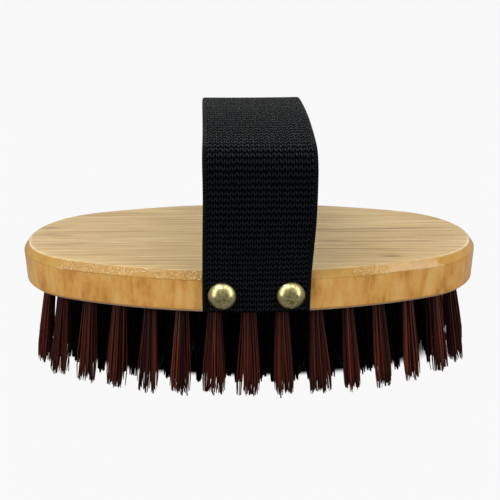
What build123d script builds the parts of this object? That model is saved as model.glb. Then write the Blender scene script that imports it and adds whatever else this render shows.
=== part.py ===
from build123d import *
import math
import os

# Oval wooden palm brush with a webbing hand strap.
# A hardwood block carries staple-set tufts in blind drilled holes. Each tuft is folded over a flat wire
# anchor that bites into the wall of its hole. A webbing strap crosses the block and is held to its long
# sides by four dome-head nails.
# The brush stands on its bristle tips: the origin is on the floor under the middle of the block, X runs
# along the block, Y across it, and the strap arches over Y. All sizes are in millimetres.

# Block
block_length = 211.0
block_width = 105.0
block_thickness = 18.0
block_end_radius = 40.0
top_bevel_run = 2.6
top_bevel_drop = 3.4
bottom_bevel = 1.2

# Tufts: a ring is an oval at an inset from the block's edge, and it starts a share of a pitch from the middle
trim_length = 41.5
tuft_edge_inset = 9.8
ring_spacing = 14.3
tuft_pitch = 14.2
ring_names = ("outer", "second", "third")
ring_start_shares = (0.0, 0.5, 0.0)
centre_row_share = 0.34
outer_lean = 10.0
fan_share = 0.5
tuft_sides = 7
fold_height = 1.0
fold_radius_share = 0.7

# Strands: a tuft parts into one in the middle and a circle of them, which widen and spread down to the trim
tuft_tip_radius = 5.3
strand_circle_count = 6
strand_sides = 5
strand_root_radius = 0.85
strand_tip_radius = 1.6
strand_root_share = 0.9
strand_cover = 1.0

# Tuft holes and the wire anchors
hole_radius = 2.5
hole_depth = 12.0
drill_point_angle = 118.0
tuft_clearance = 0.1
fold_clearance = 0.1
anchor_thickness = 0.5
anchor_height = 1.8
anchor_bite = 0.4
anchor_cover = 1.5

# Strap
strap_width = 44.5
strap_thickness = 1.8
strap_rise = 62.3
strap_end_margin = 1.2
strap_seat_clearance = 0.1
arch_span_shares = (1.032, 1.039, 1.017, 0.925, 0.72, 0.374)
arch_rise_shares = (0.226, 0.414, 0.618, 0.79, 0.90, 0.972)

# Nails, placed in the outer ring's pitches from the block's middle, and short of that ring's holes
nail_place_shares = (-0.71, 1.16)
nail_height = 8.3
nail_head_radius = 5.9
nail_head_height = 3.3
nail_head_wall = 0.7
nail_shank_radius = 0.6
nail_length = 10.8
nail_point_length = 2.2
nail_point_radius = 0.15
nail_pilot_clearance = 0.02
nail_strap_clearance = 0.08

# One overrun serves every cut
overrun = 5.0

half_length = block_length / 2
half_width = block_width / 2
block_bottom = trim_length
block_top = trim_length + block_thickness


def side_radius(length_half, width_half, end_radius):
    """Radius of an oval's long arcs, tangent to its end arcs."""
    end_centre = length_half - end_radius
    return (end_centre**2 + width_half**2 - end_radius**2) / (2 * (width_half - end_radius))


block_side_radius = side_radius(half_length, half_width, block_end_radius)
side_centre = block_side_radius - half_width
tuft_root_radius = hole_radius - tuft_clearance


def oval(inset=0.0):
    """The block's four-arc oval, taken in by an inset, as a wire that starts at the near side's left."""
    length_half = half_length - inset
    width_half = half_width - inset
    end_radius = block_end_radius - inset
    long_radius = side_radius(length_half, width_half, end_radius)
    end_centre = length_half - end_radius
    reach = long_radius - end_radius
    join_x = end_centre * (1 + end_radius / reach)
    join_y = end_radius * (long_radius - width_half) / reach
    near = ThreePointArc((-join_x, -join_y), (0, -width_half), (join_x, -join_y))
    right = ThreePointArc((join_x, -join_y), (length_half, 0), (join_x, join_y))
    far = ThreePointArc((join_x, join_y), (0, width_half), (-join_x, join_y))
    left = ThreePointArc((-join_x, join_y), (-length_half, 0), (-join_x, -join_y))
    return Wire([near, right, far, left])


def ring_count(ring):
    """Number of tufts in a ring: the even number that comes nearest to the wanted pitch."""
    return 2 * round(ring.length / tuft_pitch / 2)


def nail_turns():
    """Each nail's angle (radians) about its long side's centre."""
    ring = oval(tuft_edge_inset)
    pitch = ring.length / ring_count(ring)
    return [share * pitch / ring.edges().sort_by(Axis.Y)[0].radius for share in nail_place_shares]


def strap_middle():
    """The strap's place along the block: it is centred on its nails."""
    return block_side_radius * sum(math.sin(turn) for turn in nail_turns()) / len(nail_place_shares)


def ring_seats(inset, start_share):
    """Seats (x, y, direction of the lean in degrees) of a ring, a pitch apart, from the near side's middle.

    A tuft leans between square to its ring and straight away from the block's middle, so the ring fans out.
    """
    ring = oval(inset)
    count = ring_count(ring)
    middle = ring.edges().sort_by(Axis.Y)[0].length / 2
    seats = []
    for k in range(count):
        along = (middle + (k + start_share) * ring.length / count) % ring.length
        place = ring.position_at(along, position_mode=PositionMode.LENGTH)
        tangent = ring.tangent_at(along, position_mode=PositionMode.LENGTH)
        square = Vector(tangent.Y, -tangent.X, 0)
        away = Vector(place.X, place.Y, 0).normalized()
        lean_to = square * (1 - fan_share) + away * fan_share
        seats.append((place.X, place.Y, math.degrees(math.atan2(lean_to.Y, lean_to.X))))
    return seats


def centre_row_seats():
    """Seats of the straight row along the middle of the block."""
    reach = centre_row_share * half_length
    gaps = 2 * math.floor(reach / tuft_pitch) + 1
    return [((k - gaps / 2) * tuft_pitch, 0.0, 0.0) for k in range(gaps + 1)]


def seat_frame(lean):
    """Plane at a hole's mouth over the origin, its Z down the tuft, leaning towards +X."""
    tilt = math.radians(lean)
    return Plane(
        origin=(0, 0, block_bottom),
        x_dir=(math.cos(tilt), 0, math.sin(tilt)),
        z_dir=(math.sin(tilt), 0, -math.cos(tilt)),
    )


def anchor_solid(lean):
    """Flat wire anchor across the foot of a hole, its ends set into the wood."""
    centre = anchor_height / 2 + anchor_cover - hole_depth
    wire = Box(anchor_thickness, 2 * (hole_radius + anchor_bite), anchor_height)
    return seat_frame(lean).location * Pos(0, 0, centre) * wire


def frustum(*stations):
    """Flat-sided solid between polygons at stations (place along Z, corner radius)."""
    corners = [
        tuple(corner)
        for place_z, radius in stations
        for corner in (Pos(0, 0, place_z) * RegularPolygon(radius, tuft_sides)).vertices()
    ]
    return ConvexPolyhedron(corners)


def strand_solid(turn, root_reach, tip_reach, length):
    """Flat-sided strand at a turn about the tuft, its reach from the middle growing from root to trim."""
    corners = []
    for place_z in (-strand_cover, length):
        down = place_z / trim_length
        reach = root_reach + (tip_reach - root_reach) * down
        radius = strand_root_radius + (strand_tip_radius - strand_root_radius) * down
        station = Rot(0, 0, turn) * Pos(reach, 0, place_z) * RegularPolygon(radius, strand_sides)
        corners += [tuple(corner) for corner in station.vertices()]
    return ConvexPolyhedron(corners)


def tuft_solid(lean):
    """One tuft: its fold in the hole and its spreading strands, trimmed level, with the anchor's slot."""
    seat = seat_frame(lean)
    length = trim_length / math.cos(math.radians(lean)) + tuft_tip_radius
    root = hole_depth - fold_clearance
    fold = frustum((-root, tuft_root_radius * fold_radius_share), (fold_height - root, tuft_root_radius))
    shank = frustum((fold_height - root, tuft_root_radius), (0, tuft_root_radius))
    root_reach = tuft_root_radius * strand_root_share - strand_root_radius
    tip_reach = tuft_tip_radius - strand_tip_radius
    strands = [strand_solid(0, 0, 0, length)]
    for k in range(strand_circle_count):
        strands.append(strand_solid(k * 360 / strand_circle_count, root_reach, tip_reach, length))
    below_floor = Box(
        block_length, block_length, trim_length, align=(Align.CENTER, Align.CENTER, Align.MAX)
    )
    return seat.location * (fold + [shank, *strands]) - below_floor - anchor_solid(lean)


def hole_tool(lean):
    """Cutter of one blind hole with its drill point."""
    point = hole_radius / math.tan(math.radians(drill_point_angle / 2))
    half_section = Polyline(
        (0, -hole_depth - point),
        (hole_radius, -hole_depth),
        (hole_radius, overrun),
        (0, overrun),
        close=True,
    )
    drill = revolve(Plane.XZ * make_face(half_section), Axis.Z)
    return seat_frame(lean).location * drill


def place(solid, seat):
    """A solid made over the origin, moved to a seat and turned to lean outwards there."""
    x, y, direction = seat
    return Pos(x, y, 0) * Rot(0, 0, direction) * solid


def nail_seats():
    """Each nail's name and its place: the frame whose Z points out of the strap's face."""
    outer_face = block_side_radius + strap_seat_clearance + strap_thickness
    seats = {}
    for side, across in (("near", -1), ("far", 1)):
        for end, turn in zip(("left", "right"), nail_turns()):
            out = Vector(math.sin(turn), across * math.cos(turn), 0)
            centre = Vector(0, -across * side_centre, block_bottom + nail_height)
            seats[f"{side}_{end}_nail"] = Plane(
                origin=centre + out * outer_face, x_dir=(0, 0, 1), z_dir=out
            )
    return seats


def nail_solid():
    """Dome-head nail: a thin domed shell with its shank, pointing down Z, with its rim at the origin."""
    head = CenterArc((0, 0), nail_head_radius, 0, 90).edge()
    dome_radius = (nail_head_radius**2 + nail_head_height**2) / (2 * nail_head_height)
    drop = dome_radius - nail_head_height
    inner_radius = dome_radius - nail_head_wall
    inner_rim = math.sqrt(inner_radius**2 - drop**2)
    shank_root = math.sqrt(inner_radius**2 - nail_shank_radius**2) - drop
    outer_angle = math.asin(nail_head_radius / dome_radius) / 2
    shank_angle = math.asin(nail_shank_radius / inner_radius)
    inner_angle = (math.asin(inner_rim / inner_radius) + shank_angle) / 2
    outer_mid = (dome_radius * math.sin(outer_angle), dome_radius * math.cos(outer_angle) - drop)
    inner_mid = (inner_radius * math.sin(inner_angle), inner_radius * math.cos(inner_angle) - drop)
    outline = [
        ThreePointArc((0, nail_head_height), outer_mid, (nail_head_radius, 0)),
        Line((nail_head_radius, 0), (inner_rim, 0)),
        ThreePointArc((inner_rim, 0), inner_mid, (nail_shank_radius, shank_root)),
        Line((nail_shank_radius, shank_root), (nail_shank_radius, nail_point_length - nail_length)),
        Line((nail_shank_radius, nail_point_length - nail_length), (nail_point_radius, -nail_length)),
        Line((nail_point_radius, -nail_length), (0, -nail_length)),
        Line((0, -nail_length), (0, nail_head_height)),
    ]
    return revolve(Plane.XZ * make_face(Wire(outline)), Axis.Z)


def shank_tool(clearance):
    """Cutter of the straight hole that a nail's shank makes, as deep as the nail's point."""
    middle = (overrun - nail_length) / 2
    return Pos(0, 0, middle) * Cylinder(nail_shank_radius + clearance, nail_length + overrun)


def block_solid(seats_by_lean, seat_frames):
    """The wooden block: a bevelled oval with its tuft holes, anchor slots and the nails' pilot holes."""
    block = Pos(0, 0, block_bottom) * extrude(make_face(oval()), block_thickness)
    top = block.faces().sort_by(Axis.Z)[-1]
    block = chamfer(top.edges(), top_bevel_run, top_bevel_drop, reference=top)
    bottom = block.faces().sort_by(Axis.Z)[0]
    block = chamfer(bottom.edges(), bottom_bevel)
    cutters = []
    for lean, seats in seats_by_lean:
        drill = hole_tool(lean)
        slot = anchor_solid(lean)
        for seat in seats:
            cutters += [place(drill, seat), place(slot, seat)]
    pilot = shank_tool(nail_pilot_clearance)
    cutters += [frame.location * pilot for frame in seat_frames.values()]
    return block - cutters


def strap_solid(seat_frames):
    """The webbing: a shallow curved strip swept up one side, over the hand and down the other side."""
    leg = half_width + strap_seat_clearance + strap_thickness / 2
    foot = block_bottom + strap_end_margin
    shoulder = block_top - top_bevel_drop
    apex = block_top + strap_rise - strap_thickness / 2
    middle = strap_middle()
    shares = list(zip(arch_span_shares, arch_rise_shares))
    near = [(-leg * span, shoulder + (apex - shoulder) * rise) for span, rise in shares]
    arch = [(-leg, shoulder), *near, (0, apex), *[(-y, z) for y, z in reversed(near)], (leg, shoulder)]
    over = Spline([(middle, y, z) for y, z in arch], tangents=[(0, 0, 1), (0, 0, -1)])
    path = Wire(
        [
            Line((middle, -leg, foot), (middle, -leg, shoulder)),
            over,
            Line((middle, leg, shoulder), (middle, leg, foot)),
        ]
    )
    inner = block_side_radius + strap_seat_clearance
    ring = Circle(inner + strap_thickness) - Circle(inner)
    window = Pos(middle, -inner) * Rectangle(strap_width, inner)
    section = (Pos(0, side_centre, foot) * (ring & window)).face()
    strap = sweep(section, path=path)
    piercing = shank_tool(nail_strap_clearance)
    return strap - [frame.location * piercing for frame in seat_frames.values()]


def write(name, solids):
    """Writes one named node to its STEP file."""
    export_step(Compound(children=list(solids)) if len(solids) > 1 else solids[0], f"parts/{name}.step")


def halves(seats):
    """A ring's seats, split into the near half and the far half. A seat on the X axis is in the far half."""
    near = [seat for seat in seats if seat[1] < -tuft_clearance]
    return {"near": near, "far": [seat for seat in seats if seat not in near]}


def main():
    """Builds every piece and writes it."""
    os.makedirs("parts", exist_ok=True)
    rings = []
    for k, (name, start_share) in enumerate(zip(ring_names, ring_start_shares)):
        seats = ring_seats(tuft_edge_inset + k * ring_spacing, start_share)
        rings.append((name, outer_lean * (1 - k / len(ring_names)), seats))
    centre = ("centre", 0.0, centre_row_seats())
    seat_frames = nail_seats()
    write("wooden_block", [block_solid([(lean, seats) for _, lean, seats in [*rings, centre]], seat_frames)])
    write("hand_strap", [strap_solid(seat_frames)])
    for name, frame in seat_frames.items():
        write(name, [frame.location * nail_solid()])
    for name, lean, seats in rings:
        tuft = tuft_solid(lean)
        anchor = anchor_solid(lean)
        for half, group in halves(seats).items():
            write(f"{name}_ring_tufts_{half}", [place(tuft, seat) for seat in group])
            write(f"{name}_ring_anchors_{half}", [place(anchor, seat) for seat in group])
    write("centre_row_tufts", [place(tuft_solid(0.0), seat) for seat in centre[2]])
    write("centre_row_anchors", [place(anchor_solid(0.0), seat) for seat in centre[2]])


main()
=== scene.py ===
"""Looks of an oval wooden palm brush: lacquered block, woven hand strap, brass nails and filament tufts.

The brush stands on its bristle tips at the origin. X runs along the block, Y across it away from the near
side, and Z up. Sizes are in millimetres, and every mesh is written in metres. Colours are linear.
"""

import logging
import math
from dataclasses import dataclass
from enum import Enum

import bpy
import numpy as np
from mathutils import Matrix, Vector


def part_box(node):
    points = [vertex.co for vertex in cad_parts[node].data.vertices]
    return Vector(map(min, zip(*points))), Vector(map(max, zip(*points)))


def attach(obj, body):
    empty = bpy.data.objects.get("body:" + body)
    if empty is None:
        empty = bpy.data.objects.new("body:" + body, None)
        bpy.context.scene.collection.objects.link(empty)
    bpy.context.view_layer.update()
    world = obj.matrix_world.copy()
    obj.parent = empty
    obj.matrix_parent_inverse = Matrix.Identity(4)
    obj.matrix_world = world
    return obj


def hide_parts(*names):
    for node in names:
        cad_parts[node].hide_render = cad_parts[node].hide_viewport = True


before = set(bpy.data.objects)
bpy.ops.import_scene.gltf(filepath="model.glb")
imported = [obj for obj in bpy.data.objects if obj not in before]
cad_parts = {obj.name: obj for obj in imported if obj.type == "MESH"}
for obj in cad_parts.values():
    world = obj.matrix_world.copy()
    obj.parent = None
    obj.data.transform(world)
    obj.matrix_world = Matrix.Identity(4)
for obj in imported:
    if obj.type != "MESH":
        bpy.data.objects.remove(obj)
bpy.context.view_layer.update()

MM = 0.001
BODY = "root"
BLOCK_WIDTH = 105.0
BLOCK_END_RADIUS = 40.0
Colour = tuple[float, float, float]
log = logging.getLogger("palm_brush")


class Side(Enum):
    """Long side of the block, with the sign of its Y direction."""

    NEAR = -1
    FAR = 1


class Ring(Enum):
    """Ring of tufts, with its number of spacings from the outer ring."""

    OUTER = 0
    SECOND = 1
    THIRD = 2

    @property
    def start_share(self) -> float:
        """Share of a pitch from the near side's middle to the first tuft: the second ring fills the gaps."""
        return 0.5 * (self.value % 2)


# Meshes


def grid_faces(rows: int, columns: int, wrap: bool) -> np.ndarray:
    """Quads of a grid of points that is numbered row by row.

    Args:
        rows: Number of rows.
        columns: Number of points in a row.
        wrap: Whether the last point of a row joins the first.

    Returns:
        Four point numbers for each quad.
    """
    row, column = np.meshgrid(np.arange(rows - 1), np.arange(columns - (not wrap)), indexing="ij")
    beside = (column + 1) % columns
    corners = (row * columns + column, row * columns + beside)
    return np.stack([*corners, corners[1] + columns, corners[0] + columns], -1).reshape(-1, 4)


def outward(points: np.ndarray, faces: np.ndarray) -> np.ndarray:
    """Turns a closed mesh's faces over if its signed volume is negative.

    The volume is the sum, over each face cut into triangles, of a sixth of the corners' triple product.

    Args:
        points: Places of the vertices.
        faces: Point numbers, one row for each face.

    Returns:
        The faces, pointing outwards.
    """
    corner = points[faces]
    fans = [np.einsum("ij,ij->i", corner[:, 0], np.cross(corner[:, k], corner[:, k + 1]))
            for k in range(1, faces.shape[1] - 1)]
    return faces if sum(fan.sum() for fan in fans) > 0 else faces[:, ::-1]


def tube_faces(points: np.ndarray, rows: int, columns: int) -> list[list[int]]:
    """Walls and two end caps of a closed tube, pointing outwards.

    Args:
        points: Places of the vertices, row by row.
        rows: Number of rows.
        columns: Number of points in a row.

    Returns:
        Point numbers of each face: the walls, then the first row's cap and the last row's.
    """
    walls = grid_faces(rows, columns, True)
    faces = outward(points, walls)
    first, last = list(range(columns)), list(range((rows - 1) * columns, rows * columns))
    flipped = not np.array_equal(faces[0], walls[0])
    caps = [first, last[::-1]] if flipped else [first[::-1], last]
    return [*faces.tolist(), *caps]


def make_piece(name: str, points: np.ndarray, faces: list[list[int]]) -> bpy.types.Object:
    """Adds a smooth mesh object whose place is in its mesh.

    Args:
        name: Name of the piece.
        points: Places of the vertices in millimetres.
        faces: Point numbers of each face.

    Returns:
        The new object, which rides on the brush.
    """
    mesh = bpy.data.meshes.new(name)
    mesh.from_pydata(points * MM, [], faces, shade_flat=False)
    mesh.validate()
    piece = bpy.data.objects.new(name, mesh)
    bpy.context.scene.collection.objects.link(piece)
    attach(piece, BODY)
    log.info("%s: %d vertices, %d faces", name, len(points), len(faces))
    return piece


def give_values(piece: bpy.types.Object, name: str, values: np.ndarray) -> None:
    """Stores one number for each vertex, which a material reads by name."""
    layer = piece.data.attributes.new(name, "FLOAT", "POINT")
    layer.data.foreach_set("value", values.astype(np.float32).ravel())


def rounded_profile(corners: np.ndarray, radii: np.ndarray, steps: int) -> np.ndarray:
    """Rounds the corners of a flat open line.

    At each inner corner the arc's ends lie radius * tan(half the turn) from it, and the arc is the quadratic
    curve (1 - t)^2 a + 2 t (1 - t) corner + t^2 b between them.

    Args:
        corners: Points of the line.
        radii: Radius at each inner corner.
        steps: Number of spans in each arc.

    Returns:
        Points of the rounded line.
    """
    share = np.linspace(0.0, 1.0, steps + 1)[:, None]
    parts = [corners[:1]]
    for before, corner, after, radius in zip(corners, corners[1:], corners[2:], radii):
        back = (before - corner) / np.linalg.norm(before - corner)
        ahead = (after - corner) / np.linalg.norm(after - corner)
        reach = radius * math.tan((math.pi - math.acos(np.clip(back @ ahead, -1.0, 1.0))) / 2)
        start, end = corner + back * reach, corner + ahead * reach
        parts.append((1 - share) ** 2 * start + 2 * share * (1 - share) * corner + share**2 * end)
    return np.concatenate([*parts, corners[-1:]])


def smooth_curve(points: np.ndarray, first: np.ndarray, last: np.ndarray, count: int) -> np.ndarray:
    """Clamped cubic spline through points.

    Each coordinate is a piecewise cubic in chord length, with slope and curvature continuous at the points.
    The slopes solve a tridiagonal system, and each span is the cubic of its two ends and two slopes.

    Args:
        points: Points that the curve passes through.
        first: Slope at the first point.
        last: Slope at the last point.
        count: Number of points of the result, evenly spaced in chord length.

    Returns:
        Points of the curve.
    """
    gap = np.linalg.norm(np.diff(points, axis=0), axis=1)
    chord = np.concatenate([[0.0], np.cumsum(gap)])
    rise = np.diff(points, axis=0) / gap[:, None]
    system = np.eye(len(points))
    known = np.zeros_like(points)
    known[0], known[-1] = first, last
    inner = np.arange(1, len(points) - 1)
    system[inner, inner - 1] = gap[inner]
    system[inner, inner] = 2 * (gap[inner - 1] + gap[inner])
    system[inner, inner + 1] = gap[inner - 1]
    known[inner] = 3 * (gap[inner, None] * rise[inner - 1] + gap[inner - 1, None] * rise[inner])
    slope = np.linalg.solve(system, known)
    along = np.linspace(0.0, chord[-1], count)
    span = np.clip(np.searchsorted(chord, along, side="right") - 1, 0, len(gap) - 1)
    width = gap[span][:, None]
    t = ((along - chord[span]) / gap[span])[:, None]
    return (
        (2 * t**3 - 3 * t**2 + 1) * points[span]
        + (t**3 - 2 * t**2 + t) * width * slope[span]
        + (3 * t**2 - 2 * t**3) * points[span + 1]
        + (t**3 - t**2) * width * slope[span + 1]
    )


def evenly_spaced(line: np.ndarray, count: int) -> tuple[np.ndarray, np.ndarray]:
    """Points at equal lengths along a line, and those lengths.

    Args:
        line: Points of the line.
        count: Number of points wanted.

    Returns:
        The points, and the length from the start to each.
    """
    travelled = np.concatenate([[0.0], np.cumsum(np.linalg.norm(np.diff(line, axis=0), axis=1))])
    wanted = np.linspace(0.0, travelled[-1], count)
    return np.stack([np.interp(wanted, travelled, axis) for axis in line.T], -1), wanted


@dataclass(frozen=True)
class Oval:
    """Four-arc oval. A parallel inset keeps the arcs' centres and takes the inset off each radius."""

    half_length: float
    half_width: float
    end_radius: float

    @property
    def side_radius(self) -> float:
        """Radius of the long arcs, which meet the end arcs without a corner."""
        centre = self.half_length - self.end_radius
        squares = centre**2 + self.half_width**2 - self.end_radius**2
        return squares / (2 * (self.half_width - self.end_radius))

    @property
    def side_angle(self) -> float:
        """Half of the angle that a long arc spans."""
        reach = self.half_length - self.end_radius
        return math.asin(reach / (self.side_radius - self.end_radius))

    @property
    def length(self) -> float:
        """Perimeter: the two long arcs and the two end arcs."""
        return 4 * (self.side_radius * self.side_angle + self.end_radius * (math.pi / 2 - self.side_angle))

    def inset(self, distance: float) -> "Oval":
        """The parallel oval that lies a distance inside."""
        return Oval(self.half_length - distance, self.half_width - distance, self.end_radius - distance)

    def at(self, share: np.ndarray) -> tuple[np.ndarray, np.ndarray]:
        """Points and outward directions at shares of the perimeter, from the near side's middle towards +X.

        The direction's angle rises in proportion to the length on each arc, and the point is the arc's centre
        plus its radius times the direction.

        Args:
            share: Shares of the perimeter, from 0 to 1.

        Returns:
            Points and unit directions, two numbers each.
        """
        side, end = self.side_radius * self.side_angle, self.end_radius * (math.pi / 2 - self.side_angle)
        ends = np.cumsum([0.0, side, 2 * end, 2 * side, 2 * end, side]) / self.length
        turn = self.side_angle
        angles = np.array([0.0, turn, math.pi - turn, math.pi + turn, 2 * math.pi - turn, 2 * math.pi])
        angle = np.interp(share, ends, angles) - math.pi / 2
        arc = np.clip(np.searchsorted(ends, share, side="right") - 1, 0, 4)
        rise = self.side_radius - self.half_width
        reach = self.half_length - self.end_radius
        centres = np.array([[0.0, rise], [reach, 0.0], [0.0, -rise], [-reach, 0.0], [0.0, rise]])
        radius = np.where(arc % 2 == 1, self.end_radius, self.side_radius)
        direction = np.stack([np.cos(angle), np.sin(angle)], -1)
        return centres[arc] + radius[..., None] * direction, direction


# Shaders


class Graph:
    """Node tree of a material or a world, with one method that adds any node."""

    def __init__(self, owner: bpy.types.ID) -> None:
        """Starts an empty tree in its owner."""
        self.owner = owner
        owner.use_nodes = True
        self.tree = owner.node_tree
        self.tree.nodes.clear()

    @classmethod
    def named(cls, name: str) -> "Graph":
        """Starts a new material of that name."""
        return cls(bpy.data.materials.new(name))

    def node(self, kind: str, settings: dict | None = None, sockets: dict | None = None) -> bpy.types.Node:
        """Adds a node, applies its settings and then fills its sockets.

        Args:
            kind: Blender's name of the node type.
            settings: Properties by name. "stops" holds a colour ramp's places and colours.
            sockets: Values, colours or links by socket name or number.

        Returns:
            The new node.
        """
        made = self.tree.nodes.new(kind)
        for name, value in (settings or {}).items():
            if name == "stops":
                self._set_stops(made.color_ramp, value)
            else:
                setattr(made, name, value)
        for name, value in (sockets or {}).items():
            if isinstance(value, Socket):
                value = value.link
            if isinstance(value, bpy.types.NodeSocket):
                self.tree.links.new(value, made.inputs[name])
            else:
                self._set_value(made.inputs[name], value)
        return made

    @staticmethod
    def _set_value(target: bpy.types.NodeSocket, value: object) -> None:
        """Writes a number, vector or colour, which gets an alpha of 1 where the socket has one."""
        lacks_alpha = isinstance(value, tuple) and len(target.default_value) == len(value) + 1
        target.default_value = (*value, 1.0) if lacks_alpha else value

    @staticmethod
    def _set_stops(ramp: bpy.types.ColorRamp, stops: list[tuple[float, Colour]]) -> None:
        """Writes a ramp's stops, which are at least two."""
        while len(ramp.elements) < len(stops):
            ramp.elements.new(1.0)
        for element, (place, colour) in zip(ramp.elements, stops):
            element.position = place
            element.color = (*colour, 1.0)

    def number(self, kind: str, settings: dict | None = None, sockets: dict | None = None) -> "Socket":
        """Adds a node and returns its first output."""
        return Socket(self, self.node(kind, settings, sockets).outputs[0])

    def axes(self, source: str = "Object") -> tuple["Socket", "Socket", "Socket"]:
        """The three coordinates of a Texture Coordinate output."""
        place = self.node("ShaderNodeTexCoord").outputs[source]
        split = self.node("ShaderNodeSeparateXYZ", sockets={"Vector": place})
        return tuple(Socket(self, output) for output in split.outputs)

    def vector(self, x: "Socket", y: "Socket", z: object) -> "Socket":
        """Joins three numbers into a vector."""
        return self.number("ShaderNodeCombineXYZ", sockets={"X": x, "Y": y, "Z": z})

    def noise(self, place: "Socket", scale: float, detail: float = 2.0, rough: float = 0.5) -> "Socket":
        """Noise from 0 to 1 at a place."""
        sockets = {"Vector": place, "Scale": scale, "Detail": detail, "Roughness": rough}
        return self.number("ShaderNodeTexNoise", sockets=sockets)

    def attribute(self, name: str) -> "Socket":
        """A number stored on the piece's vertices."""
        return Socket(self, self.node("ShaderNodeAttribute", {"attribute_name": name}).outputs["Fac"])

    def mix(self, first: object, second: object, share: object) -> "Socket":
        """Blends two colours, which are the Mix node's sockets 6 and 7, by a share from 0 to 1."""
        made = self.node("ShaderNodeMix", {"data_type": "RGBA"}, {0: share, 6: first, 7: second})
        return Socket(self, made.outputs[2])

    def bump(self, height: "Socket", depth: float, strength: float) -> "Socket":
        """A normal that follows a height, of which 1 stands for a depth in millimetres."""
        sockets = {"Height": height, "Distance": depth * MM, "Strength": strength}
        return self.number("ShaderNodeBump", sockets=sockets)

    def finish(self, sockets: dict) -> bpy.types.Material:
        """Closes the tree with a Principled shader and returns the material."""
        shader = self.node("ShaderNodeBsdfPrincipled", sockets=sockets)
        self.node("ShaderNodeOutputMaterial", sockets={"Surface": shader.outputs[0]})
        return self.owner


class Socket:
    """A node's output that takes part in arithmetic: each operator adds a Math node."""

    def __init__(self, graph: Graph, link: bpy.types.NodeSocket) -> None:
        """Wraps an output of a node in a graph."""
        self.graph = graph
        self.link = link

    def math(self, operation: str, *others: object) -> "Socket":
        """Adds a Math node with this number first."""
        values = dict(enumerate((self, *others)))
        return self.graph.number("ShaderNodeMath", {"operation": operation}, values)

    def __add__(self, other: object) -> "Socket":
        """Sum."""
        return self.math("ADD", other)

    __radd__ = __add__

    def __mul__(self, other: object) -> "Socket":
        """Product."""
        return self.math("MULTIPLY", other)

    __rmul__ = __mul__

    def __sub__(self, other: object) -> "Socket":
        """Difference."""
        return self.math("SUBTRACT", other)

    def __rsub__(self, other: float) -> "Socket":
        """A number less this one."""
        return self.math("MULTIPLY_ADD", -1.0, other)

    def __truediv__(self, other: object) -> "Socket":
        """Quotient."""
        return self.math("DIVIDE", other)

    def __pow__(self, other: object) -> "Socket":
        """Power."""
        return self.math("POWER", other)

    def __abs__(self) -> "Socket":
        """Size without the sign."""
        return self.math("ABSOLUTE")

    def between(self, low: float, high: float) -> "Socket":
        """Rises smoothly from 0 at low to 1 at high."""
        sockets = {"Value": self, "From Min": low, "From Max": high}
        return self.graph.number("ShaderNodeMapRange", {"interpolation_type": "SMOOTHSTEP"}, sockets)

    def ramp(self, *stops: tuple[float, Colour]) -> "Socket":
        """Colour of this number on a ramp of places and colours."""
        return self.graph.number("ShaderNodeValToRGB", {"stops": list(stops)}, {"Fac": self})

    def fade(self) -> "Socket":
        """Falls from 1 at 0: e to the power of minus this number."""
        return (self * -1.0).math("EXPONENT")


@dataclass(frozen=True)
class Streak:
    """Dark mineral line in the wood, along X on the top face. Sizes in millimetres."""

    x: float
    y: float
    half_length: float
    half_width: float
    depth: float


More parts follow.
